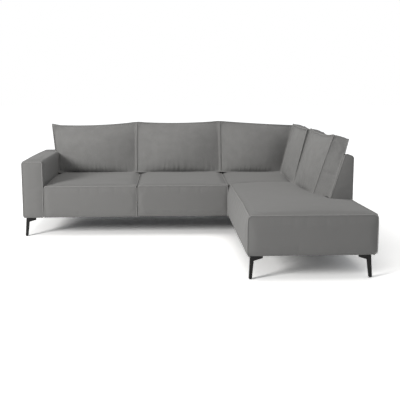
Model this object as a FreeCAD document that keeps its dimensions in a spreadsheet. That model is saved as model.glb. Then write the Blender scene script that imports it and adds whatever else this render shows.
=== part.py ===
import FreeCAD, Part
import math
import os
import Sketcher

# Corner sofa in two sections. The origin is on the floor under the middle of the whole sofa.
# Seen from the front, +X runs to the right, towards the chaise; +Y runs to the back and +Z up.

doc = FreeCAD.newDocument("corner_sofa")
sheet = doc.addObject("Spreadsheet::Sheet", "sizes")


class Size:
    """A length that carries its value and the sheet formula it comes from."""

    def __init__(self, value, text):
        self.value = value
        self.text = text

    def __add__(self, other):
        other = size(other)
        return Size(self.value + other.value, f"({self.text} + {other.text})")

    def __sub__(self, other):
        other = size(other)
        return Size(self.value - other.value, f"({self.text} - {other.text})")

    def __mul__(self, other):
        other = size(other)
        return Size(self.value * other.value, f"({self.text} * {other.text})")

    def __truediv__(self, other):
        other = size(other)
        return Size(self.value / other.value, f"({self.text} / {other.text})")

    def __neg__(self):
        return Size(-self.value, f"(0 - {self.text})")

    __radd__ = __add__
    __rmul__ = __mul__

    def __rsub__(self, other):
        return size(other) - self

    def __rtruediv__(self, other):
        return size(other) / self


def size(number):
    """The number as a Size."""
    if isinstance(number, Size):
        return number
    return Size(float(number), f"{float(number):.6f}")


def driving(alias, value, meaning):
    """One driving dimension: a row of the sheet with its meaning, its number and its alias."""
    row = driving.rows = getattr(driving, "rows", 0) + 1
    sheet.set(f"A{row}", meaning)
    sheet.set(f"B{row}", str(value))
    sheet.setAlias(f"B{row}", alias)
    return Size(float(value), f"sizes.{alias}")


total_width = driving("total_width", 2600, "outer face of the arm to outer face of the side back")
total_depth = driving("total_depth", 2220, "chaise front to back")
section_depth = driving("section_depth", 950, "front of the two-seat section to back")
leg_height = driving("leg_height", 170, "floor to underside of the body")
seat_edge = driving("seat_edge", 436, "height of the seats' front piping")
seat_rise = driving("seat_rise", 34, "rise of a seat from its front edge to its rear edge")
seat_crown = driving("seat_crown", 22, "crown of a seat above its chord")
deck_height = driving("deck_height", 300, "underside of the seat foam")
arm_width = driving("arm_width", 177, "thickness of the arm")
arm_height = driving("arm_height", 650, "height of the arm's front edge")
arm_rise = driving("arm_rise", 12, "rise of the arm top from front to rear")
back_height = driving("back_height", 756, "height of the backs")
back_foot = driving("back_foot", 165, "thickness of a back at seat height")
back_top = driving("back_top", 70, "thickness of a back at its top")
knee_height = driving("knee_height", 440, "height at which the inner face of a back starts to rake")
left_seat = driving("left_seat", 790, "width of the seat beside the arm")
right_seat = driving("right_seat", 781, "width of the seat beside the chaise")
side_back_reach = driving("side_back_reach", 716, "side back ahead of the main seats' front")
corner_seam = driving("corner_seam", 70, "seam of chaise and corner seat behind the main seats' front")
chaise_crown = driving("chaise_crown", 26, "crown of the chaise above its piping")
chaise_bevel = driving("chaise_bevel", 110, "width of the chaise's crowned border")
skin = driving("skin", 8, "cloth with its wadding")
board = driving("board", 22, "thickness of the frame boards")
foam_pad = driving("foam_pad", 25, "foam pad on a back")
wire = driving("wire", 4, "thickness of the spring wire")
cushion_height = driving("cushion_height", 465, "upright height of a loose back cushion")
cushion_foot = driving("cushion_foot", 240, "depth of a main cushion on the seat")
cushion_head = driving("cushion_head", 125, "depth of a cushion's top boxing")
cushion_pinch = driving("cushion_pinch", 65, "how far a main cushion's ends lie behind its middle")
side_cushion_pinch = driving("side_cushion_pinch", 50, "the same for a side cushion")
side_cushion_foot = driving("side_cushion_foot", 195, "depth of a side cushion on the seat")
doc.recompute()

gap = 2.0
under_cloth = 2.0
left = -total_width / 2
right = total_width / 2
front = -total_depth / 2
back = total_depth / 2
main_front = back - section_depth
arm_face = left + arm_width
seat_seam = arm_face + left_seat
section_seam = seat_seam + right_seat
back_face = back - back_foot
side_face = right - back_foot
side_back_front = main_front - side_back_reach
corner_front = main_front + corner_seam
rail_foot = leg_height + under_cloth
rail_top = deck_height - 10
rake = (back_foot - back_top) / (back_height - knee_height)

nodes = {}


def keep(label, thing):
    """Give a finished sub-part its label, which is also its node's name."""
    thing.Label = label
    nodes[label] = thing
    return thing


def place(thing, x=0, y=0, z=0):
    """Bind a sub-part's position to the sheet."""
    for axis, distance in (("x", x), ("y", y), ("z", z)):
        thing.setExpression(f"Placement.Base.{axis}", size(distance).text)


def box(label, x, y, z, keep_it=True):
    """A board or block between the two values of each axis."""
    thing = doc.addObject("Part::Box", label)
    for name, (low, high) in (("Length", x), ("Width", y), ("Height", z)):
        thing.setExpression(name, (size(high) - low).text)
    place(thing, x[0], y[0], z[0])
    return keep(label, thing) if keep_it else thing


# The axis that each plane faces, and where along it each padded body has its middle.
facing_axis = {"YZ_Plane": "x", "XZ_Plane": "y", "XY_Plane": "z"}
body_middle = {}


def outline(body, role, points, bulges=None, lift=0):
    """A closed sketch on one of the body's planes.

    bulges gives the sagitta of the stretch that starts at a point, positive to the left of travel.
    """
    bulges = bulges or {}
    sketch = body.newObject("Sketcher::SketchObject", body.Name + "_outline")
    plane = [part for part in body.Origin.OriginFeatures if part.Role == role][0]
    sketch.AttachmentSupport = [(plane, "")]
    sketch.MapMode = "FlatFace"
    sketch.setExpression("AttachmentOffset.Base.z", size(lift).text)
    corners = [FreeCAD.Vector(size(a).value, size(b).value, 0) for a, b in points]
    count = len(corners)
    for index, start in enumerate(corners):
        end = corners[(index + 1) % count]
        if index not in bulges:
            sketch.addGeometry(Part.LineSegment(start, end), False)
            continue
        sagitta = size(bulges[index]).value
        travel = end - start
        middle = (start + end) * 0.5 + FreeCAD.Vector(-travel.y, travel.x, 0).normalize() * sagitta
        ends = (end, start) if sagitta > 0 else (start, end)
        sketch.addGeometry(Part.Arc(ends[0], middle, ends[1]), False)

    def end_at(index, corner):
        first = (sketch.getPoint(index, 1) - corner).Length
        return 1 if first < (sketch.getPoint(index, 2) - corner).Length else 2

    def bound(kind, arguments, length, name):
        constraint = sketch.addConstraint(Sketcher.Constraint(kind, *arguments, length.value))
        sketch.renameConstraint(constraint, name)
        sketch.setExpression(f"Constraints.{name}", length.text)

    for index, corner in enumerate(corners):
        before = (index - 1) % count
        here = end_at(index, corner)
        sketch.addConstraint(
            Sketcher.Constraint("Coincident", before, end_at(before, corner), index, here))
        across, up = points[index]
        bound("DistanceX", (-1, 1, index, here), size(across), f"across{index}")
        bound("DistanceY", (-1, 1, index, here), size(up), f"up{index}")
    for index, sagitta in bulges.items():
        start, end = points[index], points[(index + 1) % count]
        across = size(end[0]) - start[0]
        up = size(end[1]) - start[1]
        sagitta = size(sagitta)
        radius = (across * across + up * up) / (sagitta * 8) + sagitta / 2
        if radius.value < 0:
            radius = -radius
        bound("Radius", (index,), radius, f"radius{index}")
    return sketch


def prism(label, role, points, low, high, bulges=None, keep_it=True):
    """A body padded from an outline, between two values along the plane's normal."""
    body = doc.addObject("PartDesign::Body", label)
    sketch = outline(body, role, points, bulges)
    pad = body.newObject("PartDesign::Pad", label + "_pad")
    pad.Profile = sketch
    pad.Midplane = True
    pad.setExpression("Length", (size(high) - low).text)
    body.setExpression(f"Placement.Base.{facing_axis[role]}", ((size(high) + low) / 2).text)
    body_middle[body.Name] = (size(high) + low) / 2
    doc.recompute()
    return keep(label, body) if keep_it else body


def hollow(body, role, points, low, high, bulges=None, centred_on=None):
    """Cut a pocket between two values along the plane's normal, and check that it cut."""
    before = body.Shape.Volume
    middle = body_middle[body.Name] if centred_on is None else centred_on
    lift = (size(high) + low) / 2 - middle
    if role == "XZ_Plane":
        lift = -lift
    sketch = outline(body, role, points, bulges, lift)
    pocket = body.newObject("PartDesign::Pocket", body.Name + "_hollow")
    pocket.Profile = sketch
    pocket.Midplane = True
    pocket.setExpression("Length", (size(high) - low).text)
    doc.recompute()
    if body.Shape.Volume > before - 1:
        raise RuntimeError(f"{body.Label}: the hollow cut nothing")
    return body


def group(label, shapes):
    """Identical small pieces that share one node."""
    thing = doc.addObject("Part::Feature", label)
    thing.Shape = Part.makeCompound(shapes)
    return keep(label, thing)


def like_pieces(label, things):
    """Like boards that share one node, each still an object of its own."""
    thing = doc.addObject("Part::Compound", label)
    thing.Links = things
    return keep(label, thing)


# Seat frame of the two-seat section: boards on edge, joined at the corners, with a spring rail
# ahead of the back posts.
frame_left = arm_face + gap
frame_right = section_seam - skin
rail_heights = (rail_foot, rail_top)
post_toe = 45
spring_rail_rear = back_face - post_toe
inner_front = main_front + skin + board
like_pieces("main_long_rails", [
    box(f"main_long_rail_{number}", (frame_left, frame_right), (low, low + board), rail_heights,
        keep_it=False)
    for number, low in enumerate((main_front + skin, back - skin - board))])
box("main_spring_rail", (frame_left + board, frame_right - board),
    (spring_rail_rear - board, spring_rail_rear), rail_heights)
like_pieces("main_end_rails", [
    box(f"main_end_rail_{number}", (low, low + board), (inner_front, back - skin - board),
        rail_heights, keep_it=False)
    for number, low in enumerate((frame_left, frame_right - board))])
box("main_centre_rail", (seat_seam - board / 2, seat_seam + board / 2),
    (inner_front, spring_rail_rear - board), rail_heights)

# Seat frame of the corner section, as long as the chaise, with two cross rails.
corner_left = section_seam + skin
corner_right = right - skin
like_pieces("corner_end_rails", [
    box(f"corner_end_rail_{number}", (corner_left, corner_right), (low, low + board), rail_heights,
        keep_it=False)
    for number, low in enumerate((front + skin, back - skin - board))])
like_pieces("corner_side_rails", [
    box(f"corner_side_rail_{number}", (low, low + board), (front + skin + board, back - skin - board),
        rail_heights, keep_it=False)
    for number, low in enumerate((corner_left, corner_right - board))])
cross_rail_inset = 60
cross_rail_middles = (side_back_front + cross_rail_inset, corner_front, spring_rail_rear - board / 2)
like_pieces("corner_cross_rails", [
    box(f"corner_cross_rail_{number}", (corner_left + board, corner_right - board),
        (middle - board / 2, middle + board / 2), rail_heights, keep_it=False)
    for number, middle in enumerate(cross_rail_middles)])

# Blocks in three corners of that frame, which take the leg screws.
block_width = 100
block_height = 30
block_left = corner_left + board
block_right = corner_right - board - block_width
block_front = front + skin + board
block_rear = back - skin - board - block_width
like_pieces("leg_blocks", [
    box(f"leg_block_{number}", (x, x + block_width), (y, y + block_width),
        (rail_foot, rail_foot + block_height), keep_it=False)
    for number, (x, y) in enumerate((
        (block_left, block_front), (block_right, block_front), (block_right, block_rear)))])


# Back frames: raked posts sawn from board, notched over the outer rail, under a top rail. The top of
# a back is an arc, so its frame and foam end at the foot of that arc.
top_crown = size(12)
frame_head = back_height - top_crown - skin


def face_line(height):
    """Distance from a back's outer face to its raked face at a height above the knee."""
    return back_top + rake * (back_height - height)


def post_outline(outer, forward):
    """Outline of a raked post, whose foot reaches forward from the back's outer face."""

    def inward(distance):
        return outer - distance

    padding = skin + foam_pad
    rail_line = skin + board
    head = frame_head - board
    return [
        (inward(forward), rail_foot),
        (inward(rail_line), rail_foot),
        (inward(rail_line), rail_top),
        (inward(skin), rail_top),
        (inward(skin), head),
        (inward(face_line(head) - padding), head),
        (inward(back_foot - padding), knee_height),
        (inward(back_foot - padding), rail_top),
        (inward(forward), rail_top),
    ]


def posts(label, role, outer, forward, along):
    """The posts of one back, each a board thick, standing at the given places."""
    like_pieces(label, [
        prism(f"{label}_{number}", role, post_outline(outer, forward), low, low + board,
              keep_it=False)
        for number, low in enumerate(along)])


posts("main_back_posts", "YZ_Plane", back, back_foot + post_toe,
      (frame_left + board, seat_seam - board / 2, frame_right - board * 2))
posts("corner_back_posts", "YZ_Plane", back, back_foot + post_toe,
      (corner_left + board, side_face - board * 3))
posts("side_back_posts", "XZ_Plane", right, back_foot,
      (side_back_front + skin, corner_front + board, back_face - board))

top_rail_heights = (frame_head - board, frame_head)
top_rail_depth = back_top - skin - foam_pad
box("main_back_top_rail", (arm_face + skin + gap, section_seam - skin - gap),
    (back - top_rail_depth, back - skin), top_rail_heights)
box("corner_back_top_rail", (section_seam + skin + gap, side_face - skin - gap),
    (back - top_rail_depth, back - skin), top_rail_heights)
box("side_back_top_rail", (right - top_rail_depth, right - skin),
    (side_back_front + skin, back - skin), top_rail_heights)


# Foam pads on the raked faces of the backs.
def pad_outline(outer, inset):
    """Outline of a raked foam pad, in plan distance from the back's outer face."""
    knee = back_foot - skin
    head_line = face_line(frame_head) - skin
    return [
        (outer - knee, deck_height),
        (outer - knee, knee_height),
        (outer - head_line, frame_head),
        (outer - head_line + inset, frame_head),
        (outer - knee + inset, knee_height),
        (outer - knee + inset, deck_height),
    ]


pad_thickness = foam_pad - gap
prism("main_back_foam", "YZ_Plane", pad_outline(back, pad_thickness),
      arm_face + gap + skin, section_seam - gap - skin)
prism("corner_back_foam", "YZ_Plane", pad_outline(back, pad_thickness),
      section_seam + gap + skin, side_face - skin)
prism("side_back_foam", "XZ_Plane", pad_outline(right, pad_thickness),
      side_back_front + skin, back - skin)


# Elastic straps across the posts, behind the foam pads.
strap_width = 50.0
strap_heights = (460.0, 550.0, 640.0)


def strap_outline(outer, low):
    """Section of one strap, which lies along the rake."""
    face = outer - back_foot + skin + foam_pad + rake * (low - knee_height)
    head = face + rake * strap_width
    return [(face - gap, low), (head - gap, low + strap_width), (head, low + strap_width), (face, low)]


straps = []
for role, outer, low, high in (
    ("YZ_Plane", back, frame_left + board, frame_right - board),
    ("YZ_Plane", back, corner_left + board, side_face - board * 2),
    ("XZ_Plane", right, side_back_front + skin, back_face),
):
    for height in strap_heights:
        straps.append(prism(f"back_strap_{len(straps)}", role, strap_outline(outer, size(height)),
                            low, high, keep_it=False))
like_pieces("back_straps", straps)


# Covers of the backs: a wadded cloth shell, vertical outside, raked inside, rounded on top and
# open below, where it is stapled under the rails.
def back_outline(outer, inset):
    """Outline of a back, or of the room inside its cover when inset is the skin."""
    shoulder = back_height - top_crown - inset
    head_line = face_line(shoulder) - inset
    return [
        (outer - back_foot + inset, deck_height),
        (outer - back_foot + inset, knee_height),
        (outer - head_line, shoulder),
        (outer - inset, shoulder),
        (outer - inset, deck_height),
    ]


def back_cover(label, role, outer, low, high, room_high=None):
    """The shell of a back, with a skirt down its outer side."""
    shell = back_outline(outer, 0)
    skirt = [(outer, leg_height), (outer - skin, leg_height), (outer - skin, deck_height)]
    cover = prism(label, role, shell[:4] + skirt, low, high, {2: top_crown})
    room_high = (high - skin) if room_high is None else room_high
    return hollow(cover, role, back_outline(outer, skin), low + skin, room_high, {2: top_crown})


back_cover("main_back_cover", "YZ_Plane", back, arm_face + gap, section_seam - gap / 2)
corner_back = back_cover("corner_back_cover", "YZ_Plane", back, section_seam + gap / 2,
                         right - back_top + gap, side_face)
back_cover("side_back_cover", "XZ_Plane", right, side_back_front, back)
# The corner back is cut back to the raked face of the side back.
overrun = 20
mitre = [
    (side_face - gap, leg_height - overrun),
    (side_face - gap, knee_height),
    (right - back_top - gap, back_height),
    (right - back_top - gap, back_height + overrun),
    (right + overrun, back_height + overrun),
    (right + overrun, leg_height - overrun),
]
hollow(corner_back, "XZ_Plane", [(x - body_middle[corner_back.Name], z) for x, z in mitre],
       back_face - overrun, back + overrun, centred_on=size(0))

# Arm: a board box on a base, with foam on top, in a cover whose front panel reaches the underside.
arm_room = (left + skin, arm_face - skin)
arm_board = 16
arm_padding = 50
arm_crown = size(10)
base_top = leg_height + arm_board
arm_top_board = arm_height - arm_padding
box("arm_base_board", arm_room, (main_front + skin, back - skin), (leg_height, base_top))
arm_boards = (main_front + skin, back - skin)
side_board_places = (arm_room[0], arm_room[1] - arm_board)
like_pieces("arm_side_boards", [
    box(f"arm_side_board_{number}", (low, low + arm_board), arm_boards, (base_top, arm_top_board),
        keep_it=False)
    for number, low in enumerate(side_board_places)])
end_board_places = (arm_boards[0], arm_boards[1] - arm_board)
like_pieces("arm_end_boards", [
    box(f"arm_end_board_{number}", (arm_room[0] + arm_board, arm_room[1] - arm_board),
        (low, low + arm_board), (base_top, arm_top_board), keep_it=False)
    for number, low in enumerate(end_board_places)])
box("arm_top_board", arm_room, (main_front + skin, back - skin),
    (arm_top_board, arm_top_board + arm_board))


def arm_outline(inset, foot):
    """Side outline of the arm, with its slightly crowned top."""
    return [
        (main_front + inset, foot),
        (main_front + inset, arm_height - inset),
        (back - inset, arm_height + arm_rise - inset),
        (back - inset, foot),
    ]


prism("arm_foam", "YZ_Plane", arm_outline(skin, arm_top_board + arm_board), *arm_room, {1: arm_crown})
arm_cover = prism("arm_cover", "YZ_Plane", arm_outline(0, leg_height), left, arm_face, {1: arm_crown})
hollow(arm_cover, "YZ_Plane", arm_outline(skin, leg_height - overrun), *arm_room, {1: arm_crown})


# Main seats: a foam block under a cover whose front panel hangs to the underside of the body.
def seat_outline(front_line, rear_line, inset, start, rise):
    """Side outline of a seat above the deck."""
    return [
        (front_line + inset, deck_height),
        (front_line + inset, start - inset),
        (rear_line - inset, start + rise - inset),
        (rear_line - inset, deck_height),
    ]


def main_seat(name, low, high):
    rear_line = back_face - gap
    foam = seat_outline(main_front, rear_line, skin, seat_edge, seat_rise)
    cover = seat_outline(main_front, rear_line, 0, seat_edge, seat_rise)
    flap = [(main_front + skin, deck_height), (main_front + skin, leg_height), (main_front, leg_height)]
    room = (low + skin, high - skin)
    shell = prism(f"{name}_seat_cover", "YZ_Plane", cover[1:] + flap, low, high, {0: seat_crown})
    hollow(shell, "YZ_Plane", foam, *room, {1: seat_crown})
    prism(f"{name}_seat_foam", "YZ_Plane", foam, *room, {1: seat_crown})


main_seat("left", arm_face + gap / 2, seat_seam - gap / 2)
main_seat("right", seat_seam + gap / 2, section_seam - gap / 2)

# Corner seat, behind the chaise, whose crown it carries on from.
corner_room = (section_seam + gap / 2, side_face - gap)
corner_step = 14
corner_rise = size(20)
corner_crown = size(12)
corner_edge = seat_edge + corner_step
corner_lines = (corner_front + gap / 2, back_face - gap)
corner_cover = prism("corner_seat_cover", "YZ_Plane",
                     seat_outline(*corner_lines, 0, corner_edge, corner_rise), *corner_room,
                     {1: corner_crown})
corner_inside = (corner_room[0] + skin, corner_room[1] - skin)
hollow(corner_cover, "YZ_Plane", seat_outline(*corner_lines, skin, corner_edge, corner_rise),
       *corner_inside, {1: corner_crown})
prism("corner_seat_foam", "YZ_Plane", seat_outline(*corner_lines, skin, corner_edge, corner_rise),
      *corner_inside, {1: corner_crown})


# Chaise: the same build, notched round the foot of the side back, with a bevelled crown and a
# skirt round its three open sides.
def chaise_plan(inset, bevel=0):
    """Plan of the chaise seat, pulled in along its open edges by a bevel."""
    rear = corner_front - gap / 2 - inset
    notch = side_back_front - gap - inset
    return [
        (section_seam + inset + bevel, front + inset + bevel),
        (right - inset - bevel, front + inset + bevel),
        (right - inset - bevel, notch),
        (side_face - gap - inset, notch),
        (side_face - gap - inset, rear),
        (section_seam + inset + bevel, rear),
    ]


def chaise_block(label, inset, keep_it=True):
    """The chaise seat above the deck: a slab whose crown is a wide, low bevel."""
    edge = seat_edge - inset
    body = prism(label, "XY_Plane", chaise_plan(inset), deck_height, edge, keep_it=keep_it)
    lift = (edge - deck_height) / 2
    brim = outline(body, "XY_Plane", chaise_plan(inset), lift=lift)
    flat = outline(body, "XY_Plane", chaise_plan(inset, chaise_bevel), lift=lift + chaise_crown)
    crown = body.newObject("PartDesign::AdditiveLoft", label + "_crown")
    crown.Profile = brim
    crown.Sections = [flat]
    crown.Ruled = True
    doc.recompute()
    return body


chaise_shell = chaise_block("chaise_seat_block", 0, keep_it=False)
chaise_foam = chaise_block("chaise_seat_foam", skin)
skirt_plan = [
    (section_seam, corner_front - gap / 2),
    (section_seam, front),
    (right, front),
    (right, side_back_front - gap),
    (right - skin, side_back_front - gap),
    (right - skin, front + skin),
    (section_seam + skin, front + skin),
    (section_seam + skin, corner_front - gap / 2),
]
chaise_skirt = prism("chaise_skirt", "XY_Plane", skirt_plan, leg_height, deck_height, keep_it=False)
chaise_outside = doc.addObject("Part::Fuse", "chaise_outside")
chaise_outside.Base = chaise_shell
chaise_outside.Tool = chaise_skirt
chaise_cover = doc.addObject("Part::Cut", "chaise_cover")
chaise_cover.Base = chaise_outside
chaise_cover.Tool = chaise_foam
keep("chaise_seat_cover", chaise_cover)

# Under-cloth below each section.
box("main_under_cloth", (frame_left, frame_right), (main_front + skin, back - skin),
    (leg_height, rail_foot))
box("corner_under_cloth", (corner_left, corner_right), (front + skin, back - skin),
    (leg_height, rail_foot))

# Sinuous springs from rail to rail. One wave is a closed outline; it is repeated along the spring,
# and the spring across the seat. Each end is held by a folded clip on the rail.
wave_length = 92.0
wave_reach = 24.0
spring_inset = 8.0
clip_width = 14.0
clip_reach = 14.0
clip_overlap = 5.0
clip_fold = 2.0
clip_base = 3.0
wire_slack = 0.3
spring_low = rail_top.value + clip_base
clip_heights = (rail_top.value, spring_low, spring_low + wire.value + wire_slack, deck_height.value)


def at_seat(shape, across, x, y):
    """Turn a piece drawn along +Y to run along +X where across is set, and move it."""
    piece = shape.copy()
    if across:
        piece.rotate(FreeCAD.Vector(), FreeCAD.Vector(0, 0, 1), -90)
    piece.translate(FreeCAD.Vector(x, y, 0))
    return piece


def zigzag(length):
    """One spring, drawn along +Y from the origin."""
    thick = wire.value
    half = thick / 2
    waves = round((length - thick) / wave_length)
    pitch = (length - thick) / waves
    step = pitch / 2
    near = wave_reach - half
    far = wave_reach + half
    wave = [
        (-far, 0), (far, 0), (far, step + thick), (-near, step + thick), (-near, pitch),
        (-far, pitch), (-far, step), (near, step), (near, thick), (-far, thick),
    ]
    corners = [FreeCAD.Vector(a, b, spring_low) for a, b in wave]
    unit = Part.Face(Part.makePolygon(corners + corners[:1])).extrude(FreeCAD.Vector(0, 0, thick))
    last_run = Part.makeBox(2 * far, thick, thick, FreeCAD.Vector(-far, pitch * waves, spring_low))
    spring = unit.fuse([at_seat(unit, False, 0, pitch * number) for number in range(1, waves)])
    return spring.fuse(last_run).removeSplitter()


def clip(facing):
    """A folded clip, open towards +Y where facing is 1, with its back at the origin."""
    base, under, over, crest = clip_heights
    section = [(0, base), (clip_reach, base), (clip_reach, under), (clip_fold, under),
               (clip_fold, over), (clip_reach, over), (clip_reach, crest), (0, crest)]
    corners = [FreeCAD.Vector(-clip_width / 2, facing * a, b) for a, b in section]
    face = Part.Face(Part.makePolygon(corners + corners[:1]))
    return face.extrude(FreeCAD.Vector(clip_width, 0, 0))


def spring_row(start, end, low, high, count, across):
    """Springs and clips of one seat, from rail to rail between start and end."""
    springs, clips = [], []
    length = end.value - start.value
    spring = zigzag(length - 2 * spring_inset)
    clip_inset = spring_inset - clip_overlap
    spacing = (high.value - low.value) / count
    for number in range(count):
        place_at = low.value + spacing * (number + 0.5)
        for shape, offset, pile in ((spring, spring_inset, springs), (clip(1), clip_inset, clips),
                                    (clip(-1), length - clip_inset, clips)):
            at = start.value + offset
            spot = (at, place_at) if across else (place_at, at)
            pile.append(at_seat(shape, across, *spot))
    return springs, clips


main_start = main_front + skin
main_end = spring_rail_rear
all_clips = []
main_springs = []
for low, high in ((frame_left + board, seat_seam - board / 2),
                  (seat_seam + board / 2, frame_right - board)):
    springs, clips = spring_row(main_start, main_end, low, high, 4, False)
    main_springs += springs
    all_clips += clips
group("main_section_springs", main_springs)
corner_springs = []
for low, high, count in ((front + skin + board, corner_front - board / 2, 7),
                         (corner_front + board / 2, spring_rail_rear - board, 3)):
    springs, clips = spring_row(corner_left, corner_right, low, high, count, True)
    corner_springs += springs
    all_clips += clips
group("corner_section_springs", corner_springs)
group("spring_clips", all_clips)


# Loose back cushions: a leaning, crowned block whose front face pulls back towards its ends, with
# a slab of foam inside. Each is the common part of three prisms: its side view, its front view and
# its crowned plan, raised along the lean.
cushion_clear = 3
cushion_lean = rake * 1.15
front_bevel = 16
foot_bevel = 30
brow_drop = 22
top_drop = 4
rear_drop = 8
ear_width = 26
ear_drop = 30
plan_facets = 6
core_thickness = 50
core_clear = 45
core_margin = 90
core_above_foot = 60
core_below_head = 110


def cushion(name, role, outer, depth, pinch, stand, foot_span, head_span, waist=None):
    """A loose cushion on the inner face of a back.

    The spans are its ends along that back, at its foot and at its head. Its low end may pass a
    waist, a place along the back with its height.
    """
    swap = role == "XZ_Plane"
    head = stand + cushion_height
    low_foot, high_foot = foot_span
    low_head, high_head = head_span
    low = low_head if low_head.value < low_foot.value else low_foot
    high = high_head if high_head.value > high_foot.value else high_foot
    rear_foot = outer - back_foot + rake * (stand - knee_height) - cushion_clear
    rear_head = outer - back_top - cushion_clear
    nose = rear_foot - depth
    brow = nose + cushion_lean * (cushion_height - brow_drop)
    side = [
        (nose + front_bevel, stand),
        (nose, stand + foot_bevel),
        (brow, head - brow_drop),
        (brow + front_bevel, head - top_drop),
        (brow + cushion_head, head - rear_drop),
        (rear_head, back_height),
        (rear_foot, stand),
    ]
    block = prism(f"{name}_block", role, side, low, high, keep_it=False)

    face = [(low_foot, stand)] + ([waist] if waist else []) + [
        (low_head, head - ear_drop),
        (low_head + ear_width, head - top_drop),
        (high_head - ear_width, head - top_drop),
        (high_head, head - ear_drop),
        (high_foot, stand),
    ]
    face_role = "YZ_Plane" if swap else "XZ_Plane"
    front_view = prism(f"{name}_front_view", face_role, face, nose - core_clear, outer, keep_it=False)

    sway = low_head - low_foot
    plan_body = doc.addObject("PartDesign::Body", f"{name}_plan_body")
    plan_high = high - sway
    plan_rear = rear_foot + core_clear
    plan = []
    for number in range(plan_facets + 1):
        part_way = number / plan_facets
        crown = pinch * (1 - 4 * part_way * (1 - part_way))
        plan.append((low_foot + (plan_high - low_foot) * part_way, nose + crown))
    plan += [(plan_high, plan_rear), (low_foot, plan_rear)]
    if swap:
        plan = [(across, along) for along, across in plan]
    plan_outline = outline(plan_body, "XY_Plane", plan)
    doc.recompute()
    tower = doc.addObject("Part::Extrusion", f"{name}_tower")
    tower.Base = plan_outline
    tower.DirMode = "Custom"
    tilt = (cushion_lean.value, sway.value / cushion_height.value)
    tower.Dir = FreeCAD.Vector(*(tilt if swap else tilt[::-1]), 1)
    tower.Solid = True
    tower.setExpression("LengthFwd", (cushion_height * 1.3).text)
    tower.setExpression("Placement.Base.z", stand.text)

    crowned = doc.addObject("Part::MultiCommon", f"{name}_crowned")
    crowned.Shapes = [block, front_view, tower]
    doc.recompute()

    core_rear = rear_foot - core_clear
    core_foot = stand + core_above_foot
    core_head = head - core_below_head
    core_brow = core_rear + cushion_lean * (core_head - core_foot)
    core_side = [
        (core_rear - core_thickness, core_foot),
        (core_brow - core_thickness, core_head),
        (core_brow, core_head),
        (core_rear, core_foot),
    ]
    core_low = low_foot if low_foot.value > low_head.value else low_head
    core_high = high_foot if high_foot.value < high_head.value else high_head
    core = prism(f"{name}_core", role, core_side, core_low + core_margin, core_high - core_margin)
    cover = doc.addObject("Part::Cut", f"{name}_cover_cut")
    cover.Base = crowned
    cover.Tool = core
    keep(f"{name}_cover", cover)


# The left cushion is pressed in beside the arm and bulges over it above the arm's top.
half_space = 3
main_stand = seat_edge + seat_rise + 10
left_split = seat_seam - 32
centre_split = section_seam - 12
cushion("left_cushion", "YZ_Plane", back, cushion_foot, cushion_pinch, main_stand,
        (arm_face + 14, left_split - half_space), (arm_face - 42, left_split - half_space),
        waist=(arm_face + 5, arm_height + 30))
cushion("centre_cushion", "YZ_Plane", back, cushion_foot, cushion_pinch, main_stand,
        (left_split + half_space, centre_split - half_space),
        (left_split + half_space, centre_split - half_space))
cushion("corner_cushion", "YZ_Plane", back, cushion_foot, cushion_pinch, main_stand,
        (centre_split + half_space, side_face - 95), (centre_split + half_space, side_face - 35))
# The side cushions meet at an upright joint, and the end of the row flares out over the chaise.
side_split = main_front - 80
side_rear = back_face - cushion_foot - 8
side_stand = seat_edge + 40
end_stand = seat_edge + chaise_crown + 2
end_foot = side_back_front + 106
end_head = side_back_front - 4
cushion("side_cushion", "XZ_Plane", right, side_cushion_foot, side_cushion_pinch, side_stand,
        (side_split + half_space, side_rear), (side_split + half_space, side_rear))
cushion("end_cushion", "XZ_Plane", right, side_cushion_foot, side_cushion_pinch, end_stand,
        (end_foot, side_split - half_space), (end_head, side_split - half_space))


# Legs: a clipped triangular plate with two deep fins below it, along the two rails of a corner,
# and a square blade between the fins that tapers and splays to its foot. All legs are the same
# piece, turned to their own corners; each place is the outer corner of the plate.
front_setback = 59
rear_setback = 50
arm_setback = 14
chaise_setback = 28
right_setback = 20
leg_places = {
    "arm_front_leg": (left + arm_setback, main_front + front_setback, 0),
    "arm_rear_leg": (left + arm_setback, back - rear_setback, 270),
    "chaise_left_leg": (section_seam + chaise_setback, front + front_setback, 0),
    "chaise_right_leg": (right - right_setback, front + front_setback, 90),
    "corner_rear_leg": (right - right_setback, back - rear_setback, 180),
}
plate = 4.0
plate_side = 84.0
plate_clip = 24.0
fin = 5.0
fin_tip = 30.0
fin_root = 46.0
fin_slope = 2.0
hole_radius = 3.3
hole_places = [(16, 68), (40, 40), (68, 16)]
splay = 9.0
blade_head = 27.0
blade_foot = 20.0
glide = 6.0
trim = 90.0


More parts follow.
